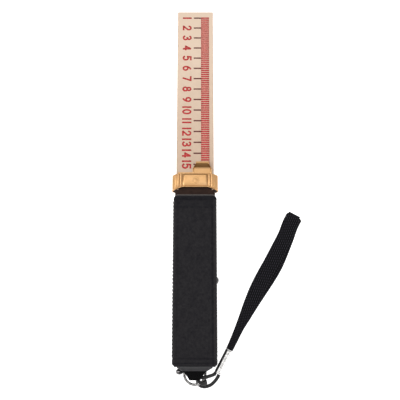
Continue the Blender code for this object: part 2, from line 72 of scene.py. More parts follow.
# Printed scale on the staff.
TIP_END = 165.2
STAFF_FACE = 13.4
FIRST_MARK = 159.1
CENTIMETRE = 10.0
LAST_NUMBER = 15
FINE_STEP = CENTIMETRE / 5
LONG_TICK = (-1.4, 5.2)
LONG_TICK_WIDTH = 1.25
FINE_TICK = (5.2, 12.4)
FINE_TICK_WIDTH = 1.5
TICK_LINE_X = 5.25
TICK_LINE_WIDTH = 0.25
TICK_LINE_END = 12.0

# Shackle and lanyard, as in the CAD model.
BAR_Y = -153.3
BAR_Z = 7.0
CAP_NOSE_Y = -152.9
BOW_RADIUS = 8.5
EYE_HALF = 1.1
BOW_WIRE = 1.1
BOW_DROOP = math.radians(15)
CORD_RADIUS = 1.4
LOOP_ROUTE = [
    (16.6, -153.9, 2.4),
    (15.8, -155.1, 3.1),
    (13.8, -156.0, 4.9),
    (11.2, -156.8, 7.6),
    (8.4, -157.7, 9.1),
    (5.7, -157.8, 8.0),
    (4.9, -157.3, 5.5),
    (7.0, -158.2, 2.5),
    (8.5, -160.8, 2.7),
    (8.5, -162.5, 5.1),
    (6.1, -162.6, 7.6),
    (3.7, -161.2, 7.5),
    (2.6, -160.0, 5.2),
    (2.2, -160.7, 2.6),
    (3.1, -162.9, 1.7),
    (5.4, -164.5, 1.6),
    (8.8, -164.8, 1.6),
    (12.9, -163.4, 1.6),
    (16.1, -160.6, 1.7),
    (18.3, -157.7, 2.1),
    (19.5, -155.5, 2.4),
]
CRIMP_START = Vector((18.4, -154.0, 2.4))
CRIMP_END = Vector((27.8, -136.3, 2.4))
# Middle line of the wrist strap, with its width at each point.
STRAP_ROUTE = [
    (28.1, -135.8, 5.7),
    (32.0, -127.9, 6.3),
    (36.7, -118.0, 7.4),
    (41.4, -108.8, 9.7),
    (46.2, -99.2, 12.1),
    (52.6, -87.4, 14.8),
    (59.8, -75.4, 16.4),
    (66.3, -64.3, 16.6),
    (72.4, -52.0, 15.6),
    (77.4, -41.4, 14.4),
    (81.4, -31.3, 14.2),
    (85.5, -23.7, 14.4),
]
WEBBING_WIDTH = 13.0
WEBBING_THICKNESS = 1.1
STRAP_GAP = 0.12
STRAP_STEP = 1.0
STRAP_CORNER = 1.7

# Whipped stitches of the side seams.
STITCH_SLANT = 1.7
STITCH_REACH = 2.6
STITCH_RADIUS = 0.42

# The studio floor is low enough for the strap to swing down, and glows so that it stays white.
FLOOR_Z = -40.0
FLOOR_HALF = 4000.0
FLOOR_GLOW = 0.8
WORLD_LIGHT = 0.46
# Each soft light aims at the origin: name, place and size in metres, power in watts.
LIGHTS = [
    ("key", (-0.45, -0.1, 0.9), (0.5, 0.7), 4.4),
    ("fill", (0.7, -0.4, 0.7), (0.6, 0.6), 1.8),
    ("top", (0.0, 0.28, 0.95), (1.0, 0.8), 1.7),
]

# The camera looks down at the rod, from a little towards the strap's end.
LENS = 60.3
CAMERA_TARGET = (4.2, -13.3, 16.0)
CAMERA_ELEVATION = math.radians(75)
CAMERA_DISTANCE = 564.0


# ---------------------------------------------------------------- meshes


def mesh_object(name, points, faces, material, smooth_angle=40.0, uvs=None):
    """A mesh from points in millimetres, its faces turned outward; uvs holds one pair per point."""
    data = bpy.data.meshes.new(name)
    data.from_pydata([Vector(p) * MM for p in points], [], faces)
    shaped = bmesh.new()
    shaped.from_mesh(data)
    bmesh.ops.recalc_face_normals(shaped, faces=shaped.faces)
    shaped.to_mesh(data)
    shaped.free()
    data.shade_smooth()
    data.set_sharp_from_angle(angle=math.radians(smooth_angle))
    if uvs:
        layer = data.uv_layers.new(name="UVMap")
        for loop in data.loops:
            layer.data[loop.index].uv = uvs[loop.vertex_index]
    data.materials.append(material)
    made = bpy.data.objects.new(name, data)
    bpy.context.scene.collection.objects.link(made)
    return made


def skin(name, rings, material, capped=True, smooth_angle=40.0, uvs=None):
    """A skin over rings of equal length: capped at both ends, or else closed on itself."""
    count = len(rings[0])
    points = [p for ring in rings for p in ring]
    faces = []
    spans = len(rings) - 1 if capped else len(rings)
    for k in range(spans):
        a = k * count
        b = (k + 1) % len(rings) * count
        for i in range(count):
            j = (i + 1) % count
            faces.append((a + i, a + j, b + j, b + i))
    if capped:
        faces.append(tuple(range(count)))
        faces.append(tuple(len(points) - count + i for i in range(count)))
    return mesh_object(name, points, faces, material, smooth_angle, uvs)


def turned(name, profile, centre, along, material, sides=48):
    """A solid of revolution: profile holds (distance along the axis, radius), end radii above 0."""
    rings = []
    for reach, radius in profile:
        ring = []
        for side in range(sides):
            turn = 2 * math.pi * side / sides
            across = (radius * math.cos(turn), radius * math.sin(turn))
            if along == "x":
                offset = (reach, across[0], across[1])
            else:
                offset = (across[0], across[1], reach)
            ring.append(tuple(c + o for c, o in zip(centre, offset)))
        rings.append(ring)
    return skin(name, rings, material, smooth_angle=30.0)


def smooth_line(route, step):
    """Points about one step apart along a Catmull-Rom curve through the route's points."""
    padded = [route[0], *route, route[-1]]
    fine = []
    for k in range(len(route) - 1):
        p0, p1, p2, p3 = (Vector(padded[k + i]) for i in range(4))
        for part in range(24):
            t = part / 24
            fine.append(
                0.5
                * (
                    2 * p1
                    + (p2 - p0) * t
                    + (2 * p0 - 5 * p1 + 4 * p2 - p3) * t**2
                    + (3 * p1 - p0 - 3 * p2 + p3) * t**3
                )
            )
    fine.append(Vector(route[-1]))
    travelled = [0.0]
    for a, b in zip(fine, fine[1:]):
        travelled.append(travelled[-1] + (b - a).length)
    count = max(2, round(travelled[-1] / step) + 1)
    line = []
    k = 0
    for i in range(count):
        wanted = travelled[-1] * i / (count - 1)
        while k < len(fine) - 2 and travelled[k + 1] < wanted:
            k += 1
        share = (wanted - travelled[k]) / (travelled[k + 1] - travelled[k])
        line.append(fine[k].lerp(fine[k + 1], share))
    return line


def frames_along(line, side_hint):
    """A tangent and two normals at each point of a line, turned smoothly from one to the next."""
    frames = []
    side = Vector(side_hint)
    last = len(line) - 1
    for i in range(len(line)):
        along = (line[min(i + 1, last)] - line[max(i - 1, 0)]).normalized()
        side = (side - along * side.dot(along)).normalized()
        frames.append((along, side, along.cross(side)))
    return frames


def tube(name, line, radius, material, sides=20, braid=0.0, side_hint=(0, 0, 1)):
    """A round tube along a line; braid raises crossing strands by that share of the radius."""
    rings = []
    uvs = []
    travelled = 0.0
    for i, (_, side, up) in enumerate(frames_along(line, side_hint)):
        if i:
            travelled += (line[i] - line[i - 1]).length
        ring = []
        for k in range(sides):
            turn = 2 * math.pi * k / sides
            wave = math.sin(4 * turn + travelled * 1.9) * math.sin(4 * turn - travelled * 1.9)
            reach = radius * (1 + braid * wave)
            ring.append(line[i] + side * (reach * math.cos(turn)) + up * (reach * math.sin(turn)))
            uvs.append((k / sides, travelled * MM))
        rings.append(ring)
    return skin(name, rings, material, smooth_angle=70.0, uvs=uvs)


# ---------------------------------------------------------------- materials


class Surface:
    """Builds one node material: a Principled shader with colour, roughness and bump from nodes."""

    def __init__(self, name, colour, roughness, metallic=0.0):
        self.material = bpy.data.materials.new(name)
        self.material.use_nodes = True
        self.tree = self.material.node_tree
        self.shader = self.tree.nodes["Principled BSDF"]
        self.shader.inputs["Base Color"].default_value = (*colour, 1.0)
        self.shader.inputs["Roughness"].default_value = roughness
        self.shader.inputs["Metallic"].default_value = metallic
        self.height = None

    def node(self, kind, **inputs):
        made = self.tree.nodes.new(kind)
        for key, value in inputs.items():
            socket = made.inputs[key.replace("_", " ")]
            if isinstance(value, bpy.types.NodeSocket):
                self.tree.links.new(value, socket)
            else:
                socket.default_value = value
        return made

    def place(self, kind="Object", stretch=(1, 1, 1)):
        """Coordinates in metres on the piece, or its UV map's."""
        source = self.tree.nodes.new("ShaderNodeTexCoord").outputs[kind]
        mapping = self.node("ShaderNodeMapping", Vector=source)
        mapping.inputs["Scale"].default_value = stretch
        return mapping.outputs[0]

    def noise(self, place, scale, detail=3.0, roughness=0.55):
        made = self.node("ShaderNodeTexNoise", Vector=place, Scale=scale, Detail=detail)
        made.inputs["Roughness"].default_value = roughness
        return made.outputs["Fac"]

    def ramp(self, value, low, high, low_at=0.3, high_at=0.7):
        made = self.node("ShaderNodeValToRGB", Fac=value)
        stops = made.color_ramp.elements
        stops[0].position = low_at
        stops[1].position = high_at
        stops[0].color = (*low, 1.0) if isinstance(low, tuple) else (low, low, low, 1.0)
        stops[1].color = (*high, 1.0) if isinstance(high, tuple) else (high, high, high, 1.0)
        return made.outputs["Color"]

    def math(self, operation, a, b=0.0):
        made = self.tree.nodes.new("ShaderNodeMath")
        made.operation = operation
        for socket, value in zip(made.inputs, (a, b)):
            if isinstance(value, bpy.types.NodeSocket):
                self.tree.links.new(value, socket)
            else:
                socket.default_value = value
        return made.outputs[0]

    def colour(self, socket):
        self.tree.links.new(socket, self.shader.inputs["Base Color"])
        return self

    def roughness(self, socket):
        self.tree.links.new(socket, self.shader.inputs["Roughness"])
        return self

    def bump(self, height, distance, strength=1.0):
        """Adds relief of that depth in metres, on top of what is there already."""
        made = self.node("ShaderNodeBump", Height=height, Distance=distance, Strength=strength)
        if self.height is not None:
            self.tree.links.new(self.height, made.inputs["Normal"])
        self.height = made.outputs["Normal"]
        self.tree.links.new(self.height, self.shader.inputs["Normal"])
        return self


def staff_enamel():
    """Off-white enamel with painted shade: darker towards the collar, paler towards the tip."""
    made = Surface("staff_enamel", (0.80, 0.66, 0.50), 0.42)
    place = made.place()
    along = made.node("ShaderNodeSeparateXYZ", Vector=place).outputs["Y"]
    # Painted shade: the colour runs from dark near the collar to pale at the tip, with random blotches.
    lit_towards_tip = made.math("MULTIPLY", along, 1 / (TIP_END * MM))
    blotches = made.math("MULTIPLY", made.noise(place, 190, 5.0, 0.6), 0.5)
    tone = made.math("ADD", lit_towards_tip, blotches)
    made.colour(made.ramp(tone, (0.56, 0.40, 0.285), (0.80, 0.62, 0.475), 0.2, 1.0))
    made.roughness(made.ramp(made.noise(place, 300), 0.36, 0.5))
    return made.bump(made.noise(place, 2500), 0.00002).material


def ink(name, dark, light):
    made = Surface(name, light, 0.5)
    place = made.place()
    made.colour(made.ramp(made.noise(place, 900, 4.0), dark, light, 0.35, 0.6))
    return made.roughness(made.ramp(made.noise(place, 1500), 0.42, 0.6)).material


def gilt(name, dark_where=None, darkest=0.6):
    """Satin brass. Dark_where gives a value from 0 to 1 that is 1 where dark brown shade is painted into the
    colour.
    """
    made = Surface(name, (0.64, 0.37, 0.16), 0.34, 1.0)
    place = made.place()
    streaks = made.noise(made.place(stretch=(1, 0.05, 1)), 2600, 4.0)
    bright = made.ramp(made.noise(place, 160, 4.0), (0.62, 0.355, 0.150), (0.70, 0.425, 0.205))
    if dark_where:
        # Painted shade: the brass is mixed towards dark brown where dark_where is high.
        painted_shade = made.ramp(dark_where(made), 0.0, darkest, 0.2, 1.0)
        mix = made.tree.nodes.new("ShaderNodeMix")
        mix.data_type = "RGBA"
        made.tree.links.new(painted_shade, mix.inputs["Factor"])
        made.tree.links.new(bright, mix.inputs["A"])
        mix.inputs["B"].default_value = (0.17, 0.075, 0.018, 1.0)
        made.colour(mix.outputs["Result"])
    else:
        made.colour(bright)
    made.roughness(made.ramp(streaks, 0.4, 0.54))
    return made.bump(streaks, 0.00002).material


# The collar's painted shade: its UV's U, high in the flutes' valleys and in the front groove.
def flute_depth(made):
    return made.node("ShaderNodeSeparateXYZ", Vector=made.place("UV")).outputs["X"]


def catch_bend(made):
    """1 on the catch's steep bend between its rims, where painted shade darkens the brass to brown."""
    place = made.node("ShaderNodeSeparateXYZ", Vector=made.place())
    along = place.outputs["Y"]
    from_start = made.math("SUBTRACT", along, CATCH_BEND[0] * MM)
    beyond = made.math("GREATER_THAN", from_start, 0.0)
    short_of_lip = made.math("LESS_THAN", along, CATCH_BEND[1] * MM)
    from_middle = made.math("ABSOLUTE", made.math("SUBTRACT", place.outputs["X"], CATCH_MID_X * MM))
    half = made.math("SUBTRACT", CATCH_BEND_HALF * MM, made.math("MULTIPLY", from_start, 0.75))
    inside = made.math("LESS_THAN", from_middle, half)
    return made.math("MULTIPLY", made.math("MULTIPLY", beyond, short_of_lip), inside)


def steel():
    made = Surface("steel", (0.6, 0.6, 0.58), 0.35, 1.0)
    streaks = made.noise(made.place(stretch=(1, 0.04, 1)), 2400, 4.0)
    made.roughness(made.ramp(streaks, 0.28, 0.45))
    return made.bump(streaks, 0.00002).material


def chrome(name, dark, light):
    """Bright plating, in patches between the dark and the light colour."""
    made = Surface(name, light, 0.2, 1.0)
    place = made.place()
    made.colour(made.ramp(made.noise(place, 420, 3.0), dark, light, 0.35, 0.6))
    made.roughness(made.ramp(made.noise(place, 700, 4.0), 0.16, 0.34))
    return made.bump(made.noise(place, 900), 0.00002).material


def leather():
    """Matt grained leather: painted shade darkens it where its UV map's U says crease, and a painted
    highlight pales it where V says edge.
    """
    made = Surface("leather", (0.014, 0.0135, 0.016), 0.62)
    place = made.place()
    cells = made.node("ShaderNodeTexVoronoi", Vector=place, Scale=1500.0)
    cells.feature = "DISTANCE_TO_EDGE"
    pores = made.ramp(cells.outputs["Distance"], 0.0, 1.0, 0.0, 0.22)
    patches = made.noise(place, 420, 6.0, 0.7)
    marks = made.node("ShaderNodeSeparateXYZ", Vector=made.place("UV"))
    # Random patches plus a painted highlight from V; painted shade from U is taken off next.
    mottle_and_highlight = made.math("ADD", patches, made.math("MULTIPLY", marks.outputs["Y"], 0.5))
    tone = made.math("SUBTRACT", mottle_and_highlight, made.math("MULTIPLY", marks.outputs["X"], 0.3))
    tone = made.math("MULTIPLY", tone, 0.2)
    made.colour(made.ramp(tone, (0.0037, 0.0034, 0.0062), (0.125, 0.113, 0.108), 0.04, 1.0))
    made.roughness(made.ramp(patches, 0.74, 0.56))
    made.shader.inputs["Specular IOR Level"].default_value = 0.2
    made.bump(made.noise(place, 380, 4.0), 0.00018)
    return made.bump(pores, 0.00009).material


def thread():
    made = Surface("thread", (0.022, 0.021, 0.025), 0.7)
    made.shader.inputs["Sheen Weight"].default_value = 0.3
    place = made.place()
    made.colour(made.ramp(made.noise(place, 1500), (0.016, 0.015, 0.018), (0.04, 0.039, 0.044)))
    return made.bump(made.noise(place, 3000), 0.0001).material


def black_metal():
    made = Surface("black_metal", (0.02, 0.019, 0.02), 0.38)
    place = made.place()
    made.colour(made.ramp(made.noise(place, 250, 4.0), (0.010, 0.009, 0.009), (0.020, 0.018, 0.018)))
    made.roughness(made.ramp(made.noise(place, 600), 0.3, 0.48))
    return made.bump(made.noise(place, 1800), 0.00004).material


def webbing():
    """Black woven webbing: a fine twill on the strap's UV map, which is in metres."""
    made = Surface("webbing", (0.010, 0.010, 0.010), 0.8)
    made.shader.inputs["Sheen Weight"].default_value = 0.05
    made.shader.inputs["Specular IOR Level"].default_value = 0.1
    made.shader.inputs["Sheen Roughness"].default_value = 0.5
    place = made.place("UV")
    warp = made.node("ShaderNodeTexWave", Vector=place, Scale=190.0)
    warp.bands_direction = "X"
    weft = made.node("ShaderNodeTexWave", Vector=place, Scale=260.0)
    weft.bands_direction = "DIAGONAL"
    weave = made.math("MULTIPLY", warp.outputs["Fac"], weft.outputs["Fac"])
    fuzz = made.math("MULTIPLY", made.noise(place, 900, 3.0), 0.5)
    tone = made.math("ADD", weave, fuzz)
    made.colour(made.ramp(tone, (0.0015, 0.0015, 0.0022), (0.032, 0.030, 0.038), 0.4, 1.0))
    made.bump(made.noise(place, 2500), 0.0001)
    return made.bump(weave, 0.0002).material


def braided_cord():
    made = Surface("braided_cord", (0.009, 0.009, 0.009), 0.7)
    made.shader.inputs["Sheen Weight"].default_value = 0.08
    place = made.place()
    made.colour(made.ramp(made.noise(place, 1600), (0.004, 0.004, 0.0045), (0.015, 0.015, 0.015)))
    return made.bump(made.noise(place, 3500, 4.0), 0.00015).material


def neck_paint():
    made = Surface("neck_paint", (0.010, 0.0055, 0.005), 0.6)
    made.shader.inputs["Specular IOR Level"].default_value = 0.15
    place = made.place()
    made.colour(made.ramp(made.noise(place, 250, 4.0), (0.016, 0.0062, 0.0035), (0.030, 0.013, 0.008)))
    return made.bump(made.noise(place, 1800), 0.00004).material


def cap_paint():
    """Black paint on the end cap: a grey painted highlight and more shine by its lip, matt on the sloping
    nose.
    """
    made = Surface("cap_paint", (0.02, 0.019, 0.02), 0.5)
    place = made.place()
    along = made.node("ShaderNodeSeparateXYZ", Vector=place).outputs["Y"]
    sheen = made.math("GREATER_THAN", along, CAP_NOSE_Y * MM)
    # Painted highlight: the rounded lip is coloured grey, with random tone.
    lip_highlight = made.math("MULTIPLY", sheen, made.math("ADD", made.noise(place, 250, 4.0), 0.4))
    made.colour(made.ramp(lip_highlight, (0.0032, 0.0030, 0.0034), (0.026, 0.025, 0.028), 0.0, 1.0))
    level = made.math("ADD", made.math("MULTIPLY", sheen, 0.45), 0.03)
    made.tree.links.new(level, made.shader.inputs["Specular IOR Level"])
    return made.bump(made.noise(place, 1800), 0.00004).material


def nylon():
    made = Surface("nylon", (0.72, 0.70, 0.64), 0.5)
    place = made.place()
    made.colour(made.ramp(made.noise(place, 200), (0.66, 0.64, 0.58), (0.75, 0.73, 0.67)))
    return made.bump(made.noise(place, 1500), 0.00004).material


def rubber():
    made = Surface("rubber", (0.03, 0.03, 0.03), 0.8)
    place = made.place()
    made.colour(made.ramp(made.noise(place, 300), (0.022, 0.022, 0.022), (0.038, 0.038, 0.038)))
    return made.bump(made.noise(place, 1500), 0.00006).material


ENAMEL = staff_enamel()
RED_INK = ink("red_ink", (0.42, 0.022, 0.022), (0.60, 0.040, 0.038))
BROWN_INK = ink("brown_ink", (0.09, 0.014, 0.013), (0.16, 0.024, 0.022))
DARK_RED_INK = ink("dark_red_ink", (0.46, 0.040, 0.036), (0.62, 0.060, 0.055))
GILT = gilt("gilt")
GILT_FLUTED = gilt("gilt_fluted", flute_depth, 0.92)
GILT_BENT = gilt("gilt_bent", catch_bend, 0.74)
STEEL = steel()
CHROME = chrome("chrome", (0.80, 0.78, 0.76), (0.94, 0.93, 0.92))
WORN_CHROME = chrome("worn_chrome", (0.10, 0.095, 0.09), (0.62, 0.61, 0.60))
BLACK_GLOSS = chrome("pin_gloss", (0.03, 0.03, 0.032), (0.34, 0.33, 0.33))
LEATHER = leather()
THREAD = thread()
BLACK_METAL = black_metal()
WEBBING = webbing()
CORD = braided_cord()
NECK_PAINT = neck_paint()
CAP_PAINT = cap_paint()
NYLON = nylon()
RUBBER = rubber()


# ---------------------------------------------------------------- stage and camera


def area_light(name, place, size, power):
    data = bpy.data.lights.new(name, "AREA")
    data.shape = "RECTANGLE"
    data.size = size[0]
    data.size_y = size[1]
    data.energy = power
    lamp = bpy.data.objects.new(name, data)
    lamp.location = place
    lamp.rotation_euler = (-Vector(place)).to_track_quat("-Z", "Y").to_euler()
    bpy.context.scene.collection.objects.link(lamp)


def stage():
    floor = Surface("floor", (0.93, 0.93, 0.93), 0.9)
    floor.shader.inputs["Emission Color"].default_value = (1.0, 1.0, 1.0, 1.0)
    floor.shader.inputs["Emission Strength"].default_value = FLOOR_GLOW
    corners = [(x * FLOOR_HALF, y * FLOOR_HALF, FLOOR_Z) for x, y in ((-1, -1), (1, -1), (1, 1), (-1, 1))]
    mesh_object("floor", corners, [(0, 1, 2, 3)], floor.material)
    world = bpy.data.worlds.new("studio")
    world.use_nodes = True
    world.node_tree.nodes["Background"].inputs["Color"].default_value = (1.0, 1.0, 1.0, 1.0)
    world.node_tree.nodes["Background"].inputs["Strength"].default_value = WORLD_LIGHT
    bpy.context.scene.world = world
    for light in LIGHTS:
        area_light(*light)
    bpy.context.scene.view_settings.view_transform = "Standard"


def camera():
    data = bpy.data.cameras.new("camera")
    data.sensor_width = 36.0
    data.lens = LENS
    data.clip_start = 0.01
    made = bpy.data.objects.new("camera", data)
    target = Vector(CAMERA_TARGET) * MM
    backward = Vector((0, -math.cos(CAMERA_ELEVATION), math.sin(CAMERA_ELEVATION)))
    made.location = target + CAMERA_DISTANCE * MM * backward
    made.rotation_euler = (target - made.location).to_track_quat("-Z", "Y").to_euler()
    bpy.context.scene.collection.objects.link(made)
    bpy.context.scene.camera = made


# ---------------------------------------------------------------- strap and lanyard


def strap_section(width, thickness):
    """Points (across, up) of the webbing's section: flat with rounded selvedges."""
    points = []
    edge = thickness / 2
    for side in (1, -1):
        for step in range(5):
            turn = math.radians(-90 + 45 * step) * side
            x = side * (width / 2 - edge) + side * edge * math.cos(turn)
            points.append((x, side * edge * math.sin(math.radians(-90 + 45 * step))))
        for step in range(1, 4):
            points.append((side * (width / 2 - edge) * (1 - step / 2), side * edge))
    return points


def strap_line():
    """Points of the strap's middle line seen from above, each with the strap's whole width."""
    fine = smooth_line(STRAP_ROUTE, STRAP_STEP)
    return [(Vector((p.x, p.y, 0)), p.z) for p in fine]


def corner_cut(from_end):
    """How far the band's edge draws in near the rounded corners of its fold."""
    left = max(0.0, STRAP_CORNER - from_end)
    return STRAP_CORNER - math.sqrt(STRAP_CORNER**2 - left**2 * 0.9)


def wrist_strap():
    """One band of webbing that runs out over the top, folds back and returns below."""
    plan = strap_line()
    last = len(plan) - 1
    stations = []
    for layer in (1, -1):
        order = range(len(plan)) if layer == 1 else range(last, -1, -1)
        for i in order:
            centre, total = plan[i]
            along = (plan[min(i + 1, last)][0] - plan[max(i - 1, 0)][0]).normalized()
            across = Vector((along.y, -along.x, 0))
            width = min(total, WEBBING_WIDTH) - 2 * corner_cut((last - i) * STRAP_STEP)
            spread = max(0.0, total - WEBBING_WIDTH) / 2
            near = max(0.0, 1 - i / (last * 0.3))
            thick = WEBBING_THICKNESS * (1 + 0.75 * near)
            low = STRAP_GAP + thick / 2
            lifted = low + thick + STRAP_GAP + 0.25 * math.sin(math.pi * i / last)
            height = low if layer == -1 else lifted
            beside = centre - across * (layer * spread)
            stations.append((beside, height, across, along * layer, width, thick))
        if layer == 1:
            stations += fold_stations(stations[-1])
    rings = []
    uvs = []
    travelled = 0.0
    for k, (centre, height, across, along, width, thick) in enumerate(stations):
        up = across.cross(along).normalized()
        place = centre + Vector((0, 0, height))
        if k:
            travelled += (place - previous).length
        previous = place
        section = strap_section(width, thick)
        rings.append([place + across * a + up * u for a, u in section])
        uvs += [(a * MM * WEBBING_WIDTH / width, travelled * MM) for a, u in section]
    made = skin("wrist_strap_webbing", rings, WEBBING, smooth_angle=60.0, uvs=uvs)
    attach(made, "shackle")
    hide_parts("wrist_strap")


def fold_stations(station):
    """The turn at the strap's far end, from the top layer round to the bottom one."""
    centre, height, across, along, width, thick = station
    low = STRAP_GAP + thick / 2
    radius = (height - low) / 2
    turns = []
    for step in range(1, 8):
        turn = math.pi * step / 8
        middle = low + radius
        place = centre + along * (radius * 1.6 * math.sin(turn))
        forward = along * math.cos(turn) - Vector((0, 0, math.sin(turn)))
        turns.append((place, middle + radius * math.cos(turn), across, forward, width, thick))
    return turns


def crimp():
    """A folded chrome sleeve round the two cord strands, open along its left side."""
    along = (CRIMP_END - CRIMP_START).normalized()
    across = Vector((along.y, -along.x, 0))
    up = Vector((0, 0, 1))
    outer_half = (2.9, 2.2)
    wall = 0.45
    outline = []
    for inset, backward in ((0.0, False), (wall, True)):
        half = (outer_half[0] - inset, outer_half[1] - inset)
        radius = 1.9 - inset
        corner = (half[0] - radius, half[1] - radius)
        path = [(-0.9, half[1])]
        for start, rise in ((90, corner[1]), (0, -corner[1])):
            for step in range(9):
                turn = math.radians(start - 90 * step / 8)
                path.append((corner[0] + radius * math.cos(turn), rise + radius * math.sin(turn)))
        path.append((-0.9, -half[1]))
        outline += path[::-1] if backward else path
    rings = []
    steps = 36
    for step in range(steps + 1):
        share = step / steps
        place = CRIMP_START.lerp(CRIMP_END, share)
        end = min(share, 1 - share)
        flare = 0.10 * math.exp(-end / 0.02)
        dents = sum(0.07 * math.exp(-(((share - at) / 0.035) ** 2)) for at in (0.2, 0.5, 0.8))
        size = 1 + flare - dents
        rings.append([place + across * (a * size) + up * (u * size) for a, u in outline])
    sleeve = skin("crimp_sleeve_chrome", rings, CHROME, smooth_angle=45.0)
    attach(sleeve, "shackle")
    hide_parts("crimp_sleeve")
    strands = []
    for offset in (-1.5, 0.95):
        line = [
            CRIMP_START.lerp(CRIMP_END, share) + across * offset
            for share in (-0.01 + 1.02 * k / 60 for k in range(61))
        ]
        strands.append(tube(f"crimped_strand_{len(strands) + 1}", line, 1.35, CORD, 24, 0.05))
    for strand in strands:
        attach(strand, "shackle")
    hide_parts("cord_core")
    return [sleeve, *strands]


def lanyard():
    pieces = crimp()
    line = smooth_line(LOOP_ROUTE, 0.45)
    loop = tube("lanyard_loop_cord", line, CORD_RADIUS, CORD, 24, 0.05)
    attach(loop, "shackle")
    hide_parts("lanyard_loop")


def shackle():
    centre = (0, BAR_Y, BAR_Z)
    flat = [(BOW_RADIUS, 0.0)]
    for step in range(41):
        turn = math.pi * step / 40
        flat.append((BOW_RADIUS * math.cos(turn), 1.8 + BOW_RADIUS * math.sin(turn)))
    flat.append((-BOW_RADIUS, 0.0))
    line = []
    for x, reach in flat:
        drop = reach * math.sin(BOW_DROOP)
        line.append(Vector((x, BAR_Y - reach * math.cos(BOW_DROOP), BAR_Z - drop)))
    bow = tube("shackle_bow_wire", line, BOW_WIRE, WORN_CHROME, 28)
    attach(bow, "shackle")
    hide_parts("shackle_bow")
    for side, name in ((-1, "shackle_eye_left"), (1, "shackle_eye_right")):
        ends = sorted((side * (BOW_RADIUS - EYE_HALF), side * (BOW_RADIUS + EYE_HALF)))
        profile = [(ends[0], 1.5), (ends[0] + 0.1, 1.9), (ends[0] + 0.5, 2.25)]
        profile += [(ends[1] - 0.5, 2.25), (ends[1] - 0.1, 1.9), (ends[1], 1.5)]
        eye = turned(name, profile, centre, "x", WORN_CHROME)
        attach(eye, "shackle")
    profile = [(-15.1, 0.4), (-14.95, 1.2), (-14.5, 1.8), (-13.8, 2.2), (-12.4, 2.35), (-11.0, 2.2)]
    profile += [(-10.2, 1.8), (-9.8, 1.2), (-9.6, 1.0), (9.4, 1.0), (9.6, 0.8)]
    pin = turned("shackle_pin_headed", profile, centre, "x", BLACK_GLOSS)
    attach(pin, "shackle")
    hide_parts("shackle_pin")


# ---------------------------------------------------------------- staff


def arc(centre, radii, start, end, steps=14):
    """Points of an arc in a digit's unit box, from one angle to another in degrees."""
    points = []
    for step in range(steps + 1):
        turn = math.radians(start + (end - start) * step / steps)
        points.append((centre[0] + radii[0] * math.cos(turn), centre[1] + radii[1] * math.sin(turn)))
    return points


def digit_strokes(digit):
    """A digit's strokes as lines of points, in a box of width 1 and height 1."""
    six = [arc((0.5, 0.3), (0.48, 0.3), 0, 360, 24), arc((0.95, 0.3), (0.93, 0.7), 180, 108, 8)]
    strokes = {
        "0": [arc((0.5, 0.5), (0.5, 0.5), 0, 360, 28)],
        "1": [[(0.5, 0.0), (0.5, 1.0)]],
        "2": [arc((0.5, 0.7), (0.48, 0.3), 165, -30, 14) + [(0.05, 0.03)], [(0.0, 0.0), (1.0, 0.0)]],
        "3": [arc((0.45, 0.75), (0.45, 0.25), 150, -90), arc((0.45, 0.27), (0.52, 0.27), 90, -150)],
        "4": [[(0.72, 0.0), (0.72, 0.95)], [(0.62, 0.92), (0.06, 0.34)], [(0.0, 0.3), (1.0, 0.3)]],
        "5": [
            [(0.96, 1.0), (0.16, 1.0)],
            [(0.14, 0.95), (0.08, 0.58)],
            arc((0.46, 0.32), (0.52, 0.32), 132, -145),
        ],
        "6": six,
        "7": [[(0.0, 1.0), (1.0, 1.0)], [(0.94, 0.94), (0.35, 0.0)]],
        "8": [arc((0.5, 0.76), (0.4, 0.24), 0, 360, 24), arc((0.5, 0.27), (0.48, 0.27), 0, 360, 24)],
        "9": [[(1 - x, 1 - y) for x, y in stroke] for stroke in six],
    }
    return strokes[digit]


def lengthened(line, extra):
    """An open line with both ends drawn out straight, so that strokes meet in full corners."""
    first, second = Vector(line[0]), Vector(line[1])
    last, before = Vector(line[-1]), Vector(line[-2])
    if (first - last).length < 0.01:
        return line
    start = first + (first - second).normalized() * extra
    end = last + (last - before).normalized() * extra
    return [tuple(start), *line[1:-1], tuple(end)]


def ribbon(line, width, height):
    """Points and faces of a thin flat stroke of ink along a line in the plane."""
    closed = (Vector(line[0]) - Vector(line[-1])).length < 0.01
    places = [Vector(p) for p in (line[:-1] if closed else line)]
    count = len(places)
    points = []
    for i, place in enumerate(places):
        before = places[(i - 1) % count] if closed or i else places[i]
        after = places[(i + 1) % count] if closed or i < count - 1 else places[i]
        first = (place - before).normalized() if place != before else (after - place).normalized()
        second = (after - place).normalized() if place != after else first
        normal = Vector((-(first + second).y, (first + second).x)).normalized()
        lean = max(0.5, normal.dot(Vector((-first.y, first.x))))
        for side in (1, -1):
            edge = place + normal * (side * width / 2 / lean)
            points.append((edge.x, edge.y, height))
    faces = []
    spans = count if closed else count - 1
    for i in range(spans):
        j = (i + 1) % count
        faces.append((2 * i, 2 * i + 1, 2 * j + 1, 2 * j))
    return points, faces


def print_on_staff(name, strokes, material):
    """One object for many strokes of ink, each (line, width), just above the staff's face."""
    points = []
    faces = []
    for number, (line, width) in enumerate(strokes):
        start = len(points)
        more, quads = ribbon(line, width, STAFF_FACE + 0.02 + 0.002 * (number % 3))
        points += more
        faces += [tuple(start + i for i in quad) for quad in quads]
    made = mesh_object(name, points, faces, material)
    sheet = made.modifiers.new("ink", "SOLIDIFY")
    sheet.thickness = 0.015 * MM
    sheet.offset = -1
    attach(made, "staff")


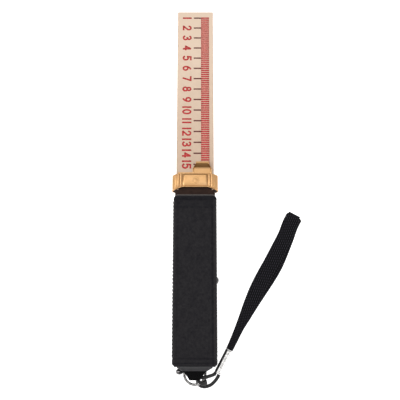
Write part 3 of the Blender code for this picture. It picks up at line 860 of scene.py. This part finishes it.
def number_strokes():
    """Numbers that read from the tip down, with their tops towards +X."""
    stroke_width = 1.5
    height = 8.1
    width = 3.5
    base_x = -11.4
    narrow = 1.1
    spacing = 2.1
    strokes = []
    for number in range(1, LAST_NUMBER + 1):
        middle = FIRST_MARK - CENTIMETRE * (number - 1)
        digits = str(number)
        widths = [narrow if digit == "1" else width for digit in digits]
        total = sum(widths) + spacing * (len(digits) - 1)
        start = middle + total / 2
        for digit, wide in zip(digits, widths):
            for stroke in digit_strokes(digit):
                if digit == "1":
                    line = [(base_x + v * height, start - narrow / 2) for u, v in stroke]
                else:
                    low = base_x + stroke_width / 2
                    line = [(low + v * (height - stroke_width), start - u * wide) for u, v in stroke]
                    line = lengthened(line, stroke_width * 0.4)
                strokes.append((line, stroke_width))
            start -= wide + spacing
    return strokes


def staff():
    print_on_staff("staff_numbers", number_strokes(), RED_INK)
    long_ticks = []
    fine_ticks = []
    for number in range(LAST_NUMBER):
        y = FIRST_MARK - CENTIMETRE * number
        long_ticks.append(([(LONG_TICK[0], y), (LONG_TICK[1], y)], LONG_TICK_WIDTH))
        for part in range(5):
            at = y - FINE_STEP * part
            fine_ticks.append(([(FINE_TICK[0], at), (FINE_TICK[1], at)], FINE_TICK_WIDTH))
    line = [(TICK_LINE_X, FIRST_MARK + 0.5), (TICK_LINE_X, TICK_LINE_END)]
    fine_ticks.append((line, TICK_LINE_WIDTH))
    print_on_staff("staff_centimetre_ticks", long_ticks, BROWN_INK)
    print_on_staff("staff_fine_ticks", fine_ticks, DARK_RED_INK)


# ---------------------------------------------------------------- collar


def collar_outline(end, ripple=0.0):
    """Points (x, z, valley) of a flat front and back joined by fluted half ellipses.

    Valley is 1 at the bottom of a flute and 0 on its rib.
    """
    points = []
    end_steps = 24 * FLUTES
    for side in (1, -1):
        for step in range(end_steps + 1):
            share = step / end_steps
            turn = math.pi * (0.5 - share)
            valley = 1 - abs(math.sin(math.pi * FLUTES * share)) ** 0.7
            wave = ripple * valley
            x = COLLAR_FLAT + (end[0] - wave) * math.cos(turn)
            z = (end[1] - wave * abs(math.sin(turn))) * math.sin(turn)
            points.append((side * x, COLLAR_MID_Z + side * z, valley))
        for step in range(1, 24):
            points.append((side * COLLAR_FLAT * (1 - step / 12), COLLAR_MID_Z - side * end[1], 0.0))
    return points


def collar_skirt(x):
    drop = min(max((abs(x) - COLLAR_FLAT) / 5.8, 0.0), 1.0)
    return COLLAR_FRONT_LOW + (COLLAR_SIDE_LOW - COLLAR_FRONT_LOW) * drop


def collar():
    """A fluted shell whose UV map carries how deep in a flute or groove each point lies, where its gilt is
    painted with shade.
    """

    def ring(inset, ripple, y, shade=1.0, groove=0.0):
        placed = []
        for x, z, valley in collar_outline((COLLAR_END[0] - inset, COLLAR_END[1] - inset), ripple):
            on_front = abs(x) < COLLAR_FLAT - 0.8 and z > COLLAR_MID_Z
            sunk = GROOVE_DEPTH * groove if on_front else 0.0
            placed.append((x, y(x) if callable(y) else y, z - sunk))
            # U is painted shade: up to 0.6 in the flutes' valleys, 1 in the front groove.
            uvs.append((max(0.6 * valley * shade, sunk / GROOVE_DEPTH), 0.5))
        return placed

    def skirt(above):
        return lambda x: collar_skirt(x) + above

    uvs = []
    rings = [
        ring(0.25, 0.15, skirt(0.0), 0.0),
        ring(0.05, 0.15, skirt(0.12), 0.0),
        ring(0.0, 0.15, skirt(0.4), 0.0),
        ring(0.05, 0.2, skirt(0.75), 0.0),
        ring(0.25, 0.3, skirt(1.0), 0.3),
        ring(0.6, 0.45, skirt(1.25), 1.0),
        ring(0.3, 0.75, skirt(1.6)),
        ring(0.3, 0.75, COLLAR_TOP - 1.25),
        ring(0.3, 0.75, COLLAR_TOP - 1.1, 1.0, 1.0),
        ring(0.3, 0.72, COLLAR_TOP - 0.75, 1.0, 1.0),
        ring(0.32, 0.7, COLLAR_TOP - 0.6),
        ring(0.36, 0.6, COLLAR_TOP - 0.35),
        ring(0.5, 0.5, COLLAR_TOP - 0.12, 0.5),
        ring(0.7, 0.3, COLLAR_TOP, 0.0),
        ring(COLLAR_WALL[1], 0.0, COLLAR_TOP, 0.0),
        ring(COLLAR_WALL[1], 0.0, collar_skirt, 0.0),
    ]
    shell = skin("collar_shell", rings, GILT_FLUTED, capped=False, smooth_angle=50.0, uvs=uvs)
    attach(shell, "case")
    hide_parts("collar")
    face = COLLAR_MID_Z + COLLAR_END[1] - 0.3
    profile = [(face - 0.2, 2.9), (face + 0.08, 2.9), (face + 0.16, 2.7), (face + 0.18, 2.3)]
    profile += [(face + 0.1, 2.1), (face + 0.1, 1.6), (face + 0.18, 1.4), (face + 0.2, 0.2)]
    boss = turned("collar_boss", profile, (0.6, 4.1, 0), "z", GILT)
    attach(boss, "case")


# ---------------------------------------------------------------- sheath


def sheath_outline():
    """Points with outward normals of the sheath's section, from the right seam round."""
    radius = 3.0
    half = SHEATH_HALF
    marks = []
    for corner in range(4):
        sx = 1 if corner in (0, 3) else -1
        sz = 1 if corner in (0, 1) else -1
        for step in range(9):
            turn = math.radians(90 * corner + 90 * step / 8)
            cos, sin = math.cos(turn), math.sin(turn)
            x = sx * (half[0] - radius) + radius * cos
            marks.append((x, sz * (half[1] - radius) + radius * sin, cos, sin))
        if corner in (0, 2):
            flat = half[0] - radius
            steps = 64
            for step in range(1, steps):
                marks.append((sx * flat * (1 - 2 * step / steps), sz * half[1], 0.0, sz))
        else:
            flat = half[1] - radius
            for step in range(1, 8):
                marks.append((sx * half[0], sz * flat * (1 - 2 * step / 8), sx, 0.0))
    return marks


def dip(distance, width):
    """1 at no distance, falling away smoothly over about that width."""
    return math.exp(-((distance / width) ** 2))


def sheath_relief(x, z, normal_z, y):
    """How far the leather stands out from its plain section."""
    from_top = SHEATH_TOP - y
    from_foot = y - SHEATH_BOTTOM
    relief = 0.0
    for edge, roll in ((from_top, 1.3), (from_foot, 0.9)):
        if edge < roll:
            relief -= 0.8 * (1 - math.sqrt(max(0.0, 1 - (1 - max(edge, 0.0) / roll) ** 2)))
    relief -= 0.35 * dip(y - MOUTH_HEM_END, 0.4) + 0.12 * dip(y - MOUTH_BAND_END, 0.5)
    for line in FOOT_HEM_LINES:
        relief -= 0.3 * dip(y - line, 0.35)
    in_panel = MOUTH_HEM_END > y > FOOT_HEM_LINES[0]
    if in_panel:
        relief -= 0.12
        if abs(normal_z) > 0.6:
            relief -= (0.32 if x > 0 else 0.14) * dip(abs(x) - CREASE_X, 0.4)
            relief -= 0.10 * max(0.0, 1 - (x / CREASE_X) ** 2)
    wave = noise.noise(Vector((x * 0.12, y * 0.06, z * 0.2)))
    fine = noise.noise(Vector((x * 0.6, y * 0.5, z * 0.6)))
    return relief + 0.10 * wave + 0.05 * fine


def leather_marks(x, normal_x, y):
    """How much painted shade (creases, hem lines, the mouth band) and painted highlight (the right-facing
    side, the right border, the mouth's top edge) the leather gets there. Both are used by its colour.
    """
    right_side, left_side = 1.0, 0.4
    # Painted shade in the side creases, stronger on the right, and in the hem lines.
    crease_shade = dip(abs(x) - CREASE_X, 0.7) * (right_side if x > 0 else left_side)
    crease_shade = max(crease_shade, 0.8 * dip(y - MOUTH_HEM_END, 0.5), 0.9 * dip(y - MOUTH_BAND_END, 0.5))
    crease_shade = max([crease_shade] + [0.8 * dip(y - line, 0.45) for line in FOOT_HEM_LINES])
    band_shade = 0.35
    if y > MOUTH_BAND_END:
        crease_shade = max(crease_shade, band_shade)
    if y > MOUTH_HEM_END:
        # Painted highlight on the mouth's top edge, painted shade on the rest of the mouth hem.
        return crease_shade, 10.0 * dip(SHEATH_TOP - y - 0.4, 0.6) - 0.4
    # Painted highlight on the right-facing side and the right border.
    return crease_shade, max(0.0, normal_x - 0.1, 0.45 if x > CREASE_X + 0.8 else 0.0)


def shoulder(x, limit, radius):
    """How far a hem's free edge is cut back towards its rounded corners."""
    past = min(max((abs(x) - limit) / radius, 0.0), 1.0)
    return radius * (1 - math.sqrt(1 - past * past))


def sheath():
    marks = sheath_outline()
    inner = [
        (
            x * SHEATH_INSIDE[0] / SHEATH_HALF[0],
            z * SHEATH_INSIDE[1] / SHEATH_HALF[1],
        )
        for x, z, _, _ in marks
    ]
    length = SHEATH_TOP - SHEATH_BOTTOM
    stations = [0.0, 0.15, 0.4, 0.8, 1.3, 2.2, 3.2, 3.8, 4.1, 4.3, 4.5, 4.8, 5.4]
    stations += [6.5 + 1.6 * k for k in range(80) if 6.5 + 1.6 * k < length - 7.2]
    stations += [length - back for back in (6.9, 6.3, 6.1, 5.9, 5.7, 5.4, 4.4, 3.2, 2.7, 2.5, 2.3, 2.1, 1.6)]
    stations += [length - back for back in (1.1, 0.7, 0.35, 0.12, 0.0)]
    stations += [SHEATH_TOP - MOUTH_BAND_END + beside for beside in (-0.6, -0.3, 0.0, 0.3)]
    stations.sort()
    rings = []
    uvs = []
    for along in stations:
        ring = []
        for x, z, normal_x, normal_z in marks:
            # The UV map carries the leather's painted shade and painted highlight.
            crease_shade, edge = leather_marks(x, normal_x, SHEATH_TOP - along)
            uvs.append((crease_shade, edge))
            top_cut = shoulder(x, 14.6, 3.7) * max(0.0, 1 - along / 4.2)
            foot_cut = shoulder(x, 16.0, 2.3) * max(0.0, 1 - (length - along) / 2.6)
            y = SHEATH_TOP - along
            out = sheath_relief(x, z, normal_z, y)
            ring.append((x + normal_x * out, y - top_cut + foot_cut, MID_Z + z + normal_z * out))
        rings.append(ring)
    for y, cut in ((SHEATH_BOTTOM + 0.1, 1), (SHEATH_TOP - 0.1, -1)):
        ring = []
        for (x, z), (outer_x, _, _, _) in zip(inner, marks):
            edge = shoulder(outer_x, 16.0, 2.3) if cut == 1 else -shoulder(outer_x, 14.6, 3.7)
            ring.append((x, y + edge, MID_Z + z))
            uvs.append((1.0, 0.0))
        rings.append(ring)
    skin_object = skin("sheath_leather", rings, LEATHER, capped=False, smooth_angle=60.0, uvs=uvs)
    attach(skin_object, "case")
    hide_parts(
        "sheath_front_panel", "sheath_back_panel", "sheath_mouth_hem", "sheath_foot_hem"
    )


def seam_stitches(name, node, side, proud):
    """Whipped stitches: short bent strands of thread that wrap the side seam."""
    points = []
    faces = []
    first = MOUTH_HEM_END - 1.6
    count = int((first - FOOT_HEM_LINES[0] - 1.0) / STITCH_PITCH)
    sides = 8
    steps = 10
    for number in range(count + 1):
        y = first - STITCH_PITCH * number
        start = len(points)
        for step in range(steps + 1):
            share = step / steps
            swing = math.pi * (share - 0.5)
            reach = 0.05 + proud * math.cos(swing)
            x = side * (SHEATH_HALF[0] + reach - 0.2)
            slanted = y + STITCH_SLANT * (share - 0.5)
            centre = Vector((x, slanted, MID_Z + STITCH_REACH * math.sin(swing)))
            thick = STITCH_RADIUS * math.sqrt(max(0.08, math.cos(swing)))
            for k in range(sides):
                turn = 2 * math.pi * k / sides
                outward = Vector((side, 0, 0)) * math.cos(turn)
                points.append(centre + (outward + Vector((0, 1, 0)) * (1.35 * math.sin(turn))) * thick)
        for step in range(steps):
            for k in range(sides):
                a = start + step * sides
                b = a + sides
                j = (k + 1) % sides
                faces.append((a + k, a + j, b + j, b + k))
        faces.append(tuple(start + k for k in range(sides)))
        faces.append(tuple(start + steps * sides + k for k in range(sides)))
    made = mesh_object(name, points, faces, THREAD, smooth_angle=60.0)
    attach(made, "case")
    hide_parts(node)


def snap_stud():
    face = SHEATH_HALF[0]
    profile = [(face - 0.3, 2.7), (face + 0.35, 2.75), (face + 0.6, 2.6), (face + 0.75, 2.2)]
    profile += [(face + 0.95, 2.05), (face + 1.25, 1.5), (face + 1.4, 0.8), (face + 1.45, 0.1)]
    stud = turned("snap_stud_dome", profile, (0, -80.0, MID_Z), "x", BLACK_GLOSS)
    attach(stud, "case")
    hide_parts("side_snap_stud")


# ---------------------------------------------------------------- carried-over CAD nodes


def dress(names, material, bevel=0.0):
    """A carried-over CAD node's material, with its edges eased."""
    for name in names:
        node = NODES[name]
        node.data.materials.clear()
        node.data.materials.append(material)
        node.data.shade_smooth()
        node.data.set_sharp_from_angle(angle=math.radians(35))
        if bevel:
            edges = node.modifiers.new("edges", "BEVEL")
            edges.width = bevel * MM
            edges.segments = 3
            edges.limit_method = "ANGLE"
            edges.angle_limit = math.radians(40)


def carried_over():
    dress(["rod_staff"], ENAMEL)
    dress(["tip_plug", "casing_tube"], BLACK_METAL)
    dress(["catch_leaf"], GILT_BENT, 0.12)
    dress(["mouth_guide"], NECK_PAINT, 0.1)
    dress(["end_cap"], CAP_PAINT, 0.3)
    dress(["staff_heel", "guide_shoe_left", "guide_shoe_right"], NYLON)
    dress(["end_bumper"], RUBBER)
    steel_nodes = ["catch_hinge_pin", "collar_screw_1", "collar_screw_2"]
    steel_nodes += ["end_cap_pin_1", "end_cap_pin_2", "friction_spring", "heel_rivet_1", "heel_rivet_2"]
    dress(steel_nodes, STEEL)


camera()
lanyard()
wrist_strap()
stage()
shackle()
carried_over()
staff()
collar()
sheath()
seam_stitches("seam_stitches_left", "seam_thread_left", -1, 0.26)
seam_stitches("seam_stitches_right", "seam_thread_right", 1, -0.24)
snap_stud()
